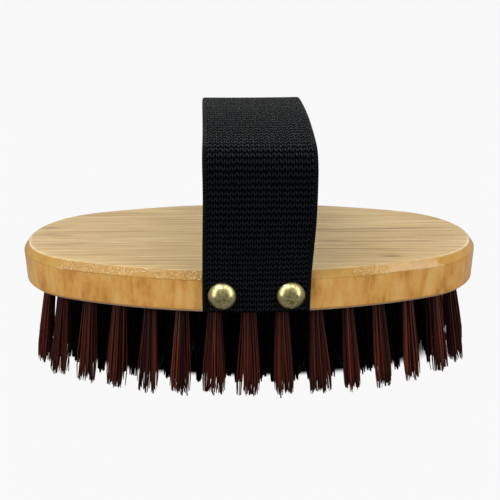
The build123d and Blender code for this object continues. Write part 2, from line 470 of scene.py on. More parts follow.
@dataclass(frozen=True)
class LacqueredWood:
    """Blonde hardwood with upright rings, under a clear glossy lacquer. Its sides are cut across the grain.

    Scales are of noise per metre. Reaches, widths and reliefs are in millimetres. Stops are the places of a
    ramp's colours from dark to light, and a weight is a pattern's part in a sum. A patch of tool marks has a
    middle and a half length along X.
    """

    light: Colour = (0.72, 0.540, 0.270)
    pale: Colour = (0.65, 0.455, 0.195)
    warm: Colour = (0.54, 0.350, 0.125)
    dark: Colour = (0.37, 0.215, 0.075)
    streak: Colour = (0.17, 0.080, 0.030)
    side_light: Colour = (0.80, 0.470, 0.142)
    honey: Colour = (0.730, 0.357, 0.071)
    side_dark: Colour = (0.50, 0.210, 0.032)
    edge: Colour = (0.40, 0.245, 0.055)
    painted_floor_light: Colour = (0.80, 0.58, 0.42)
    face_stops: tuple[float, ...] = (0.26, 0.40, 0.53, 0.72)
    side_stops: tuple[float, ...] = (0.36, 0.49, 0.64)
    wander_scales: tuple[float, float] = (7.0, 18.0)
    wander_reach: float = 4.0
    lean: float = 0.12
    grain_stretch: tuple[float, float] = (0.026, 0.05)
    ring_scale: float = 640.0
    fibre_scale: float = 1150.0
    grain_weight: float = 0.75
    slow_stretch: tuple[float, float] = (0.25, 0.5)
    slow_scale: float = 55.0
    slow_weight: float = 0.3
    face_offset: float = 0.4
    band_squeeze: float = 0.22
    band_scale: float = 270.0
    band_weight: float = 0.55
    mottle_scale: float = 85.0
    edge_share: float = 0.6
    corner_width: float = 0.4
    border_share: float = 0.8
    streak_reach: float = 6.0
    streak_taper: float = 1.2
    mark_scale: float = 950.0
    mark_relief: float = 1.0
    patch_relief: float = 8.0
    mark_patches: tuple[tuple[float, float], ...] = ((-63.0, 13.5), (-27.5, 13.0), (51.5, 7.0))
    relief: float = 0.11
    roughness: float = 0.20
    bevel_polish: float = 0.15
    coat: float = 0.25
    bevel_coat: float = 0.03
    streaks: tuple[Streak, ...] = (
        Streak(70.0, 6.1, 25.0, 0.9, 1.0),
        Streak(58.0, 1.8, 30.0, 1.6, 0.35),
        Streak(61.5, -33.2, 5.5, 1.2, 0.95),
        Streak(60.0, -13.2, 34.0, 0.8, 0.5),
        Streak(52.0, -24.0, 20.0, 0.8, 0.5),
        Streak(37.0, -12.0, 7.0, 1.5, 0.5),
        Streak(-97.0, 8.8, 6.5, 1.2, 0.8),
        Streak(-95.5, -0.6, 5.5, 1.0, 0.65),
        Streak(-88.0, -3.7, 6.0, 1.0, 0.5),
        Streak(-79.0, -14.0, 9.0, 0.9, 0.4),
        Streak(-77.0, 18.3, 23.0, 0.9, 0.4),
        Streak(-55.0, 2.0, 40.0, 0.7, 0.35),
        Streak(-20.0, 31.0, 60.0, 0.6, 0.25),
    )

    def material(self, lower_edge: float) -> bpy.types.Material:
        """Builds the material.

        The faces have grain and streaks, and the sides upright bands. The upper bevel is darker, with patches
        of fine tool marks that catch light. A thin dark line, which is a bell of the height, runs along the
        side's lower edge, and the bevel below it has the floor's light painted on it as a pale tint.

        Args:
            lower_edge: Height of the side's lower edge in millimetres.

        Returns:
            The material.
        """
        graph = Graph.named("lacquered_wood")
        x, y, z = graph.axes()
        place = graph.vector(x, y, z)
        rim, bevel, lower = (graph.attribute(name) for name in ("rim", "bevel", "lower"))
        along_scale, across_scale = self.wander_scales
        slow_place = graph.vector(x * along_scale, y * across_scale, z * across_scale)
        wander = graph.noise(slow_place, 1.0) - 0.5
        across = y + z * self.lean + wander * (self.wander_reach * MM)
        face, fibres = self._face(graph, x, across, z)
        mottle = graph.noise(place, self.mottle_scale, 3.0, 0.6)
        colour = graph.mix(face, self._side(graph, x, y, z, mottle), rim)
        colour = graph.mix(colour, self.edge, bevel * self.edge_share)
        streaks = self._streaks(x, y, wander) * (fibres * 0.6 + 0.6) * (1 - rim)
        colour = graph.mix(colour, self.streak, streaks)
        corner = (((z - lower_edge * MM) / (self.corner_width * MM)) ** 2.0).fade()
        colour = graph.mix(colour, self.side_dark, corner * rim * self.border_share)
        # Painted light: the bottom bevel is tinted pale in place of the light thrown up from the floor.
        colour = graph.mix(colour, self.painted_floor_light, lower * rim * self.border_share)
        marks = graph.noise(place, self.mark_scale, 1.0)
        marks = bevel * marks * (self._patches(x) * self.patch_relief + self.mark_relief)
        height = fibres * (0.25 - rim * 0.2) + mottle * 0.2 + marks
        return graph.finish({
            "Base Color": colour,
            "Roughness": fibres * 0.12 + self.roughness - bevel * self.bevel_polish,
            "Normal": graph.bump(height, self.relief, 0.6),
            "Specular IOR Level": 0.5,
            "Coat Weight": self.coat - bevel * (self.coat - self.bevel_coat),
            "Coat Roughness": 0.08,
        })

    def _face(self, graph: Graph, x: Socket, across: Socket, z: Socket) -> tuple[Socket, Socket]:
        """Colour of the flat faces, and the fibres in it.

        Rings and fibres are noise stretched along X, so that they make lines along the brush, over a slow
        change of tone.

        Args:
            graph: The material's tree.
            x: Place along the brush.
            across: Place across it, leaned by the height and bent by a slow wander.
            z: Height.

        Returns:
            The colour and the fibres.
        """
        stretched = graph.vector(x * self.grain_stretch[0], across, z * self.grain_stretch[1])
        rings = graph.noise(stretched, self.ring_scale, 3.0, 0.6)
        fibres = graph.noise(stretched, self.fibre_scale, 4.0, 0.7)
        slow_place = graph.vector(x * self.slow_stretch[0], across, z * self.slow_stretch[1])
        slow = graph.noise(slow_place, self.slow_scale) * self.slow_weight
        tone = rings * self.grain_weight + fibres * self.grain_weight + slow - self.face_offset
        return tone.ramp(*zip(self.face_stops, (self.dark, self.warm, self.pale, self.light))), fibres

    def _side(self, graph: Graph, x: Socket, y: Socket, z: Socket, mottle: Socket) -> Socket:
        """Colour of the sides: upright bands, which are noise squeezed along Z, over slow mottling."""
        squeezed = graph.vector(x, y, z * self.band_squeeze)
        bands = graph.noise(squeezed, self.band_scale, 3.0, 0.6)
        tone = bands * self.band_weight + mottle * (1 - self.band_weight)
        return tone.ramp(*zip(self.side_stops, (self.side_dark, self.honey, self.side_light)))

    def _patches(self, x: Socket) -> Socket:
        """Share of the tool marks along X: a flat-topped bell for each patch."""
        places = [(x - middle * MM) / (half_length * MM) for middle, half_length in self.mark_patches]
        return sum((place**4.0).fade() for place in places).math("MINIMUM", 1.0)

    def _streaks(self, x: Socket, y: Socket, wander: Socket) -> Socket:
        """Sum of the streaks, which bend with the grain. Each is a bell along X times a bell across."""
        bent = y + wander * (self.streak_reach * MM)
        marks = []
        for streak in self.streaks:
            along = (x - streak.x * MM) / (streak.half_length * MM)
            aside = (bent - streak.y * MM) / (streak.half_width * MM)
            marks.append((along * along * self.streak_taper + aside * aside).fade() * streak.depth)
        return sum(marks).math("MINIMUM", 1.0)


@dataclass(frozen=True)
class Webbing:
    """Black webbing of short steep strokes that mirror from column to column, with ribbed selvedges.

    Pitches, sways, the selvedge and the relief are in millimetres. Scales are of noise per metre.
    """

    yarn: Colour = (0.0135, 0.0180, 0.0225)
    groove_shade: Colour = (0.0001, 0.0001, 0.0001)
    column_pitch: float = 1.02
    column_sway: float = 0.5
    rib_pitch: float = 2.35
    rib_sway: float = 1.2
    sway_scale: float = 240.0
    slant: float = 0.72
    stroke_range: tuple[float, float] = (0.25, 0.9)
    border_range: tuple[float, float] = (0.3, 0.95)
    selvedge: float = 1.9
    yarn_scale: float = 5200.0
    patch_scale: float = 60.0
    relief: float = 0.6

    def material(self, width: float) -> bpy.types.Material:
        """Builds the material on the strap's own map, which holds metres across and along.

        A stroke is a cosine of the length along the strap, shifted by a triangle wave of two columns, cut to
        its upper part and closed at both borders of its column. The selvedges have fine straight ribs. The
        yarn's colour falls with this height, to near black in the grooves, as painted shade.

        Args:
            width: Width of the strap in millimetres.

        Returns:
            The material.
        """
        graph = Graph.named("black_webbing")
        across, along, _ = graph.axes("UV")
        cloth = graph.vector(across, along, 0.0)
        sway = graph.noise(cloth, self.sway_scale) - 0.5
        column = (across + sway * (self.column_sway * MM)) / (self.column_pitch * MM)
        zigzag = abs((column * 0.5).math("FRACT") * 2.0 - 1.0)
        border = abs(column.math("FRACT") * 2.0 - 1.0)
        phase = (along + sway * (self.rib_sway * MM)) / (self.rib_pitch * MM) + zigzag * self.slant
        rib = (phase * (2 * math.pi)).math("COSINE") * 0.5 + 0.5
        stroke = rib.between(*self.stroke_range) * (1 - border.between(*self.border_range))
        plain = (along * (4 * math.pi / (self.rib_pitch * MM))).math("COSINE") * 0.2 + 0.3
        half, hem = width * MM / 2, self.selvedge * MM
        edge = abs(across - half).between(half - hem, half - hem * 0.8)
        height = stroke * (1 - edge) + plain * edge
        yarns = graph.noise(cloth, self.yarn_scale, 3.0, 0.7)
        patches = graph.noise(cloth, self.patch_scale, 3.0)
        # Painted shade: the yarn's own colour on the strokes falls with the height to near black in the
        # grooves.
        shade = height * (yarns * 0.5 + 0.75) * (patches * 0.7 + 0.65)
        return graph.finish({
            "Base Color": graph.mix(self.groove_shade, self.yarn, shade),
            "Roughness": yarns * 0.2 + 0.52,
            "Normal": graph.bump(height + yarns * 0.2, self.relief, 1.0),
            "Specular IOR Level": 0.02,
            "Sheen Weight": 0.14,
            "Sheen Roughness": 0.22,
        })


@dataclass(frozen=True)
class Brass:
    """Pale yellow brass, lightly rubbed. Scales are of noise per metre, and the pit depth in millimetres."""

    clean: Colour = (0.60, 0.525, 0.250)
    dull: Colour = (0.18, 0.150, 0.052)
    patch_scale: float = 800.0
    patch_range: tuple[float, float] = (0.40, 0.62)
    brim_share: float = 0.25
    dull_share: float = 0.85
    pit_scale: float = 1500.0
    pit_depth: float = 0.06
    roughness: float = 0.28

    def material(self) -> bpy.types.Material:
        """Builds the material: fine pits, and patches of duller metal that are strongest on the crown."""
        graph = Graph.named("pale_brass")
        place = graph.vector(*graph.axes())
        crown = graph.attribute("crown") * (1 - self.brim_share) + self.brim_share
        patches = graph.noise(place, self.patch_scale, 4.0, 0.65).between(*self.patch_range) * crown
        pits = graph.noise(place, self.pit_scale, 3.0, 0.65)
        return graph.finish({
            "Base Color": graph.mix(self.clean, self.dull, patches * self.dull_share),
            "Metallic": 1.0,
            "Roughness": patches * 0.12 + self.roughness,
            "Normal": graph.bump(pits, self.pit_depth, 0.5),
        })


@dataclass(frozen=True)
class Filament:
    """Satin synthetic filament: its tone runs from black to reddish brown, and near the root it has a painted
    sheen.

    Levels and the lines' depth are in millimetres. The lines' scale is of noise per metre. Stops are the
    places of the colours from black to red.
    """

    name: str = "brown_filament"
    red: Colour = (0.180, 0.032, 0.015)
    brown: Colour = (0.094, 0.0170, 0.0092)
    dark: Colour = (0.014, 0.0035, 0.0025)
    black: Colour = (0.0028, 0.0022, 0.0026)
    painted_sheen: Colour = (0.120, 0.062, 0.052)
    tone_stops: tuple[float, ...] = (0.06, 0.26, 0.52, 0.9)
    line_scale: float = 6000.0
    line_stretch: float = 0.03
    line_share: float = 0.08
    line_depth: float = 0.02
    tips_level: float = 16.0
    roots_level: float = 42.0
    painted_sheen_range: tuple[float, float] = (0.35, 0.85)
    painted_sheen_share: float = 0.6
    roughness: float = 0.42
    specular: float = 0.14

    def material(self) -> bpy.types.Material:
        """Builds the material: each filament has its own tone, with fine lines along it and a painted sheen
        high up.
        """
        graph = Graph.named(self.name)
        x, y, z = graph.axes()
        tone = graph.attribute("tone")
        lines = graph.noise(graph.vector(x, y, z * self.line_stretch), self.line_scale)
        shade = tone * (1 - self.line_share) + lines * self.line_share
        colour = shade.ramp(*zip(self.tone_stops, (self.black, self.dark, self.brown, self.red)))
        # Painted sheen: the lighter filaments are tinted pale pink high up near the roots, as a painted
        # highlight.
        high = z.between(self.tips_level * MM, self.roots_level * MM)
        sheen_mask = high * tone.between(*self.painted_sheen_range) * self.painted_sheen_share
        return graph.finish({
            "Base Color": graph.mix(colour, self.painted_sheen, sheen_mask),
            "Roughness": lines * 0.12 + self.roughness,
            "Normal": graph.bump(lines, self.line_depth, 0.5),
            "Specular IOR Level": self.specular,
        })


@dataclass(frozen=True)
class DrawnWire:
    """Bright drawn steel of the anchors. The marks' scale is of noise per metre."""

    steel: Colour = (0.56, 0.56, 0.58)
    grey: Colour = (0.38, 0.38, 0.40)
    mark_scale: float = 9000.0
    mark_stretch: float = 0.1
    roughness: float = 0.28

    def material(self) -> bpy.types.Material:
        """Builds the material: fine level marks on the wire's faces."""
        graph = Graph.named("drawn_wire")
        x, y, z = graph.axes()
        marks = graph.noise(graph.vector(x * self.mark_stretch, y * self.mark_stretch, z), self.mark_scale)
        return graph.finish({
            "Base Color": graph.mix(self.steel, self.grey, marks * 0.5),
            "Metallic": 1.0,
            "Roughness": marks * 0.15 + self.roughness,
        })


def dress(piece: bpy.types.Object, material: bpy.types.Material) -> None:
    """Gives a piece its material."""
    piece.data.materials.clear()
    piece.data.materials.append(material)


# Sub-assemblies


@dataclass
class Block:
    """Bevelled oval block with drilled tuft holes.

    Each flat face is a cap, whose border lies a few runs of the top bevel inside the outline. The top and
    bottom shares place extra rows between that border and the bevel, so that smooth shading stays flat there.
    """

    oval: Oval
    bottom: float
    thickness: float
    top_run: float = 2.6
    top_drop: float = 3.4
    bottom_bevel: float = 1.2
    edge_radius: float = 1.1
    bottom_edge_radius: float = 0.5
    arc_steps: int = 6
    around: int = 560
    side_rows: int = 7
    face_runs: int = 4
    top_shares: tuple[float, float] = (0.5, 0.93)
    bottom_shares: tuple[float, float] = (0.07, 0.5)
    crease: float = 35.0
    hole_radius: float = 2.5
    hole_depth: float = 12.0
    hole_sides: int = 20
    point_share: float = 0.6
    bit_overrun: float = 5.0
    finish: LacqueredWood = LacqueredWood()

    def build(self, seats: "list[Seat]") -> bpy.types.Object:
        """Builds, drills and dresses the block.

        Args:
            seats: Places and directions of the tuft holes.

        Returns:
            The piece.
        """
        profile = self._profile()
        points, parts = self._surface(profile)
        piece = make_piece("lacquered_block", points, tube_faces(points, len(profile), self.around))
        for name, values in parts.items():
            give_values(piece, name, values)
        self._drill(piece, seats)
        dress(piece, self.finish.material(lower_edge=self.bottom + self.bottom_bevel))
        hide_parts("wooden_block")
        return piece

    def _profile(self) -> np.ndarray:
        """Inset and height of the outline, from the top face over the bevels to the bottom face."""
        top = self.bottom + self.thickness
        flat = self.face_runs * self.top_run
        corners = np.array([
            [flat, top], [self.top_run, top], [0.0, top - self.top_drop],
            [0.0, self.bottom + self.bottom_bevel], [self.bottom_bevel, self.bottom], [flat, self.bottom],
        ])
        radii = np.repeat([self.edge_radius, self.bottom_edge_radius], 2)
        line = rounded_profile(corners, radii, self.arc_steps)
        side = np.linspace(0.1, 0.9, self.side_rows)
        middle = len(line) // 2
        upper, lower = line[:middle], line[middle:]
        wall = upper[-1] + (lower[0] - upper[-1]) * side[:, None]
        near_top = upper[0] + (upper[1] - upper[0]) * np.array(self.top_shares)[:, None]
        near_bottom = lower[-2] + (lower[-1] - lower[-2]) * np.array(self.bottom_shares)[:, None]
        return np.concatenate([upper[:1], near_top, upper[1:], wall, lower[:-1], near_bottom, lower[-1:]])

    def _surface(self, profile: np.ndarray) -> tuple[np.ndarray, dict[str, np.ndarray]]:
        """Carries the profile round the oval: a point moves in along its direction by the inset.

        Args:
            profile: Inset and height of each row.

        Returns:
            The points, and for each a number that is 1 on the rim (all but the flat faces), on the top bevel
            and on the bottom bevel, and 0 elsewhere.
        """
        rim, direction = self.oval.at(np.arange(self.around) / self.around)
        inset, height = profile[:, 0], profile[:, 1]
        flat = rim[None] - inset[:, None, None] * direction[None]
        level = np.broadcast_to(height[:, None, None], (*flat.shape[:2], 1))
        points = np.concatenate([flat, level], -1).reshape(-1, 3)
        top, margin = self.bottom + self.thickness, 0.1 * self.top_drop
        below_face = height < top - margin
        parts = {
            "rim": below_face & (height > self.bottom + 0.01),
            "bevel": below_face & (height > top - self.top_drop - margin),
            "lower": height < self.bottom + 0.9 * self.bottom_bevel,
        }
        return points, {name: np.repeat(chosen.astype(float), self.around) for name, chosen in parts.items()}

    def _drill(self, piece: bpy.types.Object, seats: "list[Seat]") -> None:
        """Cuts the blind holes with a Boolean and keeps their mouths sharp."""
        cutter = self._drill_bits(seats)
        cut = piece.modifiers.new("tuft_holes", "BOOLEAN")
        cut.operation = "DIFFERENCE"
        cut.solver = "EXACT"
        cut.object = cutter
        ready = piece.evaluated_get(bpy.context.evaluated_depsgraph_get())
        drilled = bpy.data.meshes.new_from_object(ready)
        piece.modifiers.clear()
        piece.data = drilled
        bpy.data.objects.remove(cutter)
        drilled.set_sharp_from_angle(angle=math.radians(self.crease))

    def _drill_bits(self, seats: "list[Seat]") -> bpy.types.Object:
        """One object with a pointed rod at each seat, on the tuft's axis, from below the block up into it."""
        angle = np.linspace(0.0, 2 * math.pi, self.hole_sides, endpoint=False)
        circle = np.stack([np.cos(angle), np.sin(angle)], -1) * self.hole_radius
        end = -self.hole_depth
        point = end - self.point_share * self.hole_radius
        count = 2 * self.hole_sides + 1
        points, faces = [], []
        for index, seat in enumerate(seats):
            flat = np.concatenate([circle, circle, [[0.0, 0.0]]])
            depth = np.concatenate([np.repeat([self.bit_overrun, end], self.hole_sides), [point]])
            points.append(seat.place(flat, depth))
            first = index * count
            wall = grid_faces(2, self.hole_sides, True) + first
            ring = np.arange(self.hole_sides)
            beside = (ring + 1) % self.hole_sides
            tip = np.stack([ring, beside, np.full_like(ring, self.hole_sides)], -1) + self.hole_sides
            faces += [*wall[:, ::-1].tolist(), *(tip[:, ::-1] + first).tolist(), (ring + first).tolist()]
        mesh = bpy.data.meshes.new("drill_bits")
        mesh.from_pydata(np.concatenate(points) * MM, [], faces)
        cutter = bpy.data.objects.new("drill_bits", mesh)
        bpy.context.scene.collection.objects.link(cutter)
        bpy.context.view_layer.update()
        return cutter


@dataclass(frozen=True)
class Seat:
    """Place of a tuft's root on the bottom face, with the outward direction of its lean."""

    x: float
    y: float
    level: float
    outward_x: float
    outward_y: float
    lean: float

    def place(self, flat: np.ndarray, depth: np.ndarray) -> np.ndarray:
        """Puts points given across and down the tuft into the brush.

        A point is the root, plus its two numbers along the leaned outward axis and the axis beside it, plus
        its depth along the tuft, which leans outwards from straight down.

        Args:
            flat: Two numbers across the tuft for each point.
            depth: Length down the tuft for each point.

        Returns:
            Points in the brush's frame.
        """
        tilt = math.radians(self.lean)
        out = np.array([self.outward_x, self.outward_y, 0.0])
        up = np.array([0.0, 0.0, 1.0])
        axis = out * math.sin(tilt) - up * math.cos(tilt)
        leaned = out * math.cos(tilt) + up * math.sin(tilt)
        beside = np.array([-self.outward_y, self.outward_x, 0.0])
        root = np.array([self.x, self.y, self.level])
        return root + flat[..., :1] * leaned + flat[..., 1:2] * beside + depth[..., None] * axis


@dataclass(frozen=True)
class Spread:
    """How a tuft opens towards its tips.

    Its reach is its radius at the tips, and the lean share is the radius along the lean as a share of that
    beside it. The opening is the power of the depth by which strands part. The point share says how far a
    strand's tip closes and how uneven it is cut, and the tone share how light the filaments are.
    """

    reach: float
    lean_share: float
    opening: float
    point_share: float
    tone_share: float
    filament_radius: float


@dataclass(frozen=True)
class Scatter:
    """How far a tuft's parts stray from even places, in radians, shares or millimetres."""

    turn: float = 0.12
    splay: float = 0.07
    strand: float = 0.6
    tuft: float = 0.25
    tip: float = 0.16
    stray: float = 1.5
    stray_chance: float = 0.04
    strand_width: float = 0.22
    least_width: float = 0.5
    cut: float = 1.0
    strand_cut: float = 0.8
    bow: float = 0.3
    thickness: float = 0.08


@dataclass(frozen=True)
class Bunch:
    """One tuft's filaments, a row for each.

    Root and tip are the strand's places across the tuft, own is the filament's place in the strand as a share
    of its radius, and cut is the length off the tip.
    """

    root: np.ndarray
    tip: np.ndarray
    own: np.ndarray
    cut: np.ndarray
    tone: np.ndarray


@dataclass
class Tufts:
    """All the tufts, ring by ring. A tuft parts into strands, and a strand is a clump of filaments.

    The outer ring's strands close to points and spread less along the lean than beside it. The inner tufts
    are black and bushy.
    """

    oval: Oval
    trim: float
    edge_inset: float = 9.8
    ring_spacing: float = 14.3
    pitch: float = 14.2
    outer_lean: float = 10.0
    fan_share: float = 0.5
    centre_share: float = 0.34
    root_radius: float = 2.4
    outer: Spread = Spread(5.5, 0.70, 0.95, 0.55, 1.0, 0.27)
    inner: Spread = Spread(9.2, 1.0, 0.45, 0.15, 0.05, 0.5)
    scatter: Scatter = Scatter()
    circle_strands: int = 6
    strand_root_radius: float = 0.95
    strand_tip_radius: float = 1.75
    strand_filaments: int = 9
    sunk: float = 4.0
    sides: int = 5
    station_shares: tuple[float, ...] = (0.0, 0.34, 0.64, 0.86, 1.0)
    point_start_share: float = 0.72
    tip_share: float = 0.6
    border_cut: float = 2.4
    longest_cut: float = 5.6
    seed: int = 41
    finish: Filament = Filament()
    inner_finish: Filament = Filament(name="black_filament", specular=0.02)

    def ring_seats(self, ring: Ring) -> list[Seat]:
        """Seats of a ring: an even number of them, nearest to the pitch, from the near side's middle.

        A tuft leans along the mean of the ring's outward direction and the direction from the block's middle.

        Args:
            ring: The ring.

        Returns:
            The seats in order round the ring.
        """
        path = self.oval.inset(self.edge_inset + ring.value * self.ring_spacing)
        count = 2 * round(path.length / self.pitch / 2)
        places, square = path.at((np.arange(count) + ring.start_share) / count)
        away = places / np.linalg.norm(places, axis=1, keepdims=True)
        leaning = square * (1 - self.fan_share) + away * self.fan_share
        leaning /= np.linalg.norm(leaning, axis=1, keepdims=True)
        lean = self.outer_lean * (1 - ring.value / len(Ring))
        return [Seat(*place, self.trim, *direction, lean) for place, direction in zip(places, leaning)]

    def centre_seats(self) -> list[Seat]:
        """Seats of the straight row along the middle."""
        gaps = 2 * math.floor(self.centre_share * self.oval.half_length / self.pitch) + 1
        return [Seat((k - gaps / 2) * self.pitch, 0.0, self.trim, 1.0, 0.0, 0.0) for k in range(gaps + 1)]

    def build(self) -> list[Seat]:
        """Builds each ring's near and far half and the centre row.

        Returns:
            All the seats.
        """
        draw = np.random.default_rng(self.seed)
        red, black = self.finish.material(), self.inner_finish.material()
        groups = {}
        for ring in Ring:
            name = ring.name.lower()
            seats = self.ring_seats(ring)
            groups[f"{name}_ring_bristles_near"] = [seat for seat in seats if seat.y < -self.root_radius]
            groups[f"{name}_ring_bristles_far"] = [seat for seat in seats if seat.y >= -self.root_radius]
        groups["centre_row_bristles"] = self.centre_seats()
        for name, seats in groups.items():
            spread, material = (self.outer, red) if name.startswith("outer") else (self.inner, black)
            points, faces, tone = self._group(seats, spread, draw)
            piece = make_piece(name, points, faces)
            give_values(piece, "tone", tone)
            dress(piece, material)
            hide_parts(name.replace("bristles", "tufts"))
        return [seat for seats in groups.values() for seat in seats]

    def _bunch(self, spread: Spread, draw: np.random.Generator) -> Bunch:
        """Places one tuft's strands and filaments.

        Strands stand in a circle about a middle one. A strand's filaments keep their place in a sunflower
        pattern, r = sqrt(share) at multiples of the golden angle. Filaments at a strand's border are shorter.

        Args:
            spread: How the tuft opens.
            draw: Source of the random numbers.

        Returns:
            The filaments.
        """
        scatter, filaments = self.scatter, self.strand_filaments
        even = (np.arange(self.circle_strands) + 0.5) * 2 * math.pi / self.circle_strands
        turn = even + draw.normal(0.0, scatter.turn)
        circle = np.concatenate([np.zeros((1, 2)), np.stack([np.cos(turn), np.sin(turn)], -1)])
        order = np.arange(filaments) + 0.5
        golden = order * math.pi * (3 - math.sqrt(5))
        disc = np.sqrt(order / filaments)[:, None] * np.stack([np.cos(golden), np.sin(golden)], -1)
        border = np.linalg.norm(disc, axis=1)
        strands = len(circle)
        each, shape = (strands, filaments), (strands, filaments, 2)
        splay = draw.normal(1.0, scatter.splay) * (spread.reach - self.strand_tip_radius)
        root = np.broadcast_to(circle[:, None] * (self.root_radius - self.strand_root_radius), shape)
        tip = circle[:, None] * splay + draw.normal(0.0, scatter.strand, (strands, 1, 2))
        tip = tip + draw.normal(0.0, scatter.tuft, 2) + draw.normal(0.0, scatter.tip, shape)
        strays = draw.random((*each, 1)) < scatter.stray_chance
        tip = (tip + strays * draw.normal(0.0, scatter.stray, shape)) * [spread.lean_share, 1.0]
        own = disc * draw.normal(1.0, scatter.strand_width, (strands, 1, 1)).clip(scatter.least_width)
        cut = np.abs(draw.normal(0.0, scatter.cut, each)) * (0.3 + border)
        cut = cut + self.border_cut * border**2 * draw.random(each) * spread.point_share * 2
        cut = (cut + np.abs(draw.normal(0.0, scatter.strand_cut, (strands, 1)))).clip(0.0, self.longest_cut)
        tone = 0.5 * draw.beta(2.0, 2.0, (strands, 1)) + 0.5 * draw.beta(1.6, 2.0, each)
        flat = [values.reshape(-1, 2) for values in (root, tip, own)]
        return Bunch(*flat, cut.ravel(), tone.ravel() * spread.tone_share)

    def _tuft(self, seat: Seat, spread: Spread, draw: np.random.Generator) -> tuple[np.ndarray, np.ndarray]:
        """Points of one tuft.

        A filament follows its strand's line, whose distance from the tuft's axis grows with a power of the
        depth, and bows aside by a parabola. The strand's radius grows with the depth and shrinks again by the
        square of the last stretch. Round each line lies a ring of points at each station, the last one
        smaller.

        Args:
            seat: The tuft's seat.
            spread: How the tuft opens.
            draw: Source of the random numbers.

        Returns:
            Points, and a tone for each.
        """
        bunch = self._bunch(spread, draw)
        count = len(bunch.cut)
        bow = draw.normal(0.0, self.scatter.bow, (count, 2))
        thick = spread.filament_radius * draw.normal(1.0, self.scatter.thickness, count)
        share = np.array(self.station_shares)
        reach = self.trim / math.cos(math.radians(seat.lean))
        depth = -self.sunk + share[None] * (reach - bunch.cut + self.sunk)[:, None]
        flare = (depth / reach).clip(0.0)
        last = ((flare - self.point_start_share) / (1 - self.point_start_share)).clip(0.0)
        radius = self.strand_root_radius + (self.strand_tip_radius - self.strand_root_radius) * flare
        radius = radius * (1 - spread.point_share * last**2)
        line = bunch.root[:, None] + (bunch.tip - bunch.root)[:, None] * flare[..., None] ** spread.opening
        line = line + bunch.own[:, None] * radius[..., None]
        line = line + bow[:, None] * (4 * flare * (1 - flare))[..., None]
        turn = np.linspace(0.0, 2 * math.pi, self.sides, endpoint=False)
        circle = np.stack([np.cos(turn), np.sin(turn)], -1)
        slim = np.where(share == 1.0, self.tip_share, 1.0)
        flat = line[:, :, None] + circle * (thick[:, None] * slim)[..., None, None]
        depths = np.broadcast_to(depth[:, :, None], flat.shape[:3])
        return seat.place(flat, depths).reshape(-1, 3), np.repeat(bunch.tone, len(share) * self.sides)

    def _group(
        self, seats: list[Seat], spread: Spread, draw: np.random.Generator
    ) -> tuple[np.ndarray, list[list[int]], np.ndarray]:
        """Filaments of a group of tufts, cut off at the floor.

        Args:
            seats: Seats of the group's tufts.
            spread: How the tufts open.
            draw: Source of the random numbers.

        Returns:
            Points, faces, and one tone for each point.
        """
        tufts = [self._tuft(seat, spread, draw) for seat in seats]
        points = np.concatenate([places for places, _ in tufts])
        points[:, 2] = np.maximum(points[:, 2], 0.0)
        each = len(self.station_shares) * self.sides
        first = np.arange(0, len(points), each)[:, None]
        wall = grid_faces(len(self.station_shares), self.sides, True)
        walls = (wall[None] + first[:, None]).reshape(-1, 4)
        end = first + np.arange(each - self.sides, each)
        start = first + np.arange(self.sides)[::-1]
        faces = [*walls[:, ::-1].tolist(), *end[:, ::-1].tolist(), *start[:, ::-1].tolist()]
        return points, faces, np.concatenate([tones for _, tones in tufts])


@dataclass(frozen=True)
class NailSeat:
    """Place of a nail head's rim, on the strap's outer face, and its turn about the long arc's centre."""

    side: Side
    x: float
    y: float
    z: float
    turn: float


@dataclass(frozen=True)
class NailPlan:
    """Where the nails go.

    Places are pitches of the outer ring from the middle. The height is above the block's bottom, and out is
    the distance from the block's side.
    """

    places: tuple[float, float] = (-0.71, 1.16)
    height: float = 8.3
    out: float = 1.9

    def seats(self, oval: Oval, tufts: Tufts, level: float) -> dict[str, NailSeat]:
        """Seats of the four nails.

        A nail's angle about the long arc's centre is its place in pitches times the pitch over the radius.

        Args:
            oval: The block's outline.
            tufts: The tufts, whose outer ring gives the pitch.
            level: Height of the block's bottom face.

        Returns:
            Seats by name.
        """
        ring = oval.inset(tufts.edge_inset)
        pitch = ring.length / len(tufts.ring_seats(Ring.OUTER))
        radius, reach = oval.side_radius, oval.side_radius + self.out
        seats = {}
        for side in Side:
            for end, place in zip(("left", "right"), self.places):
                turn = place * pitch / ring.side_radius
                x = reach * math.sin(turn)
                y = side.value * (reach * math.cos(turn) - radius + oval.half_width)
                seats[f"{side.name.lower()}_{end}"] = NailSeat(side, x, y, level + self.height, turn)
        return seats


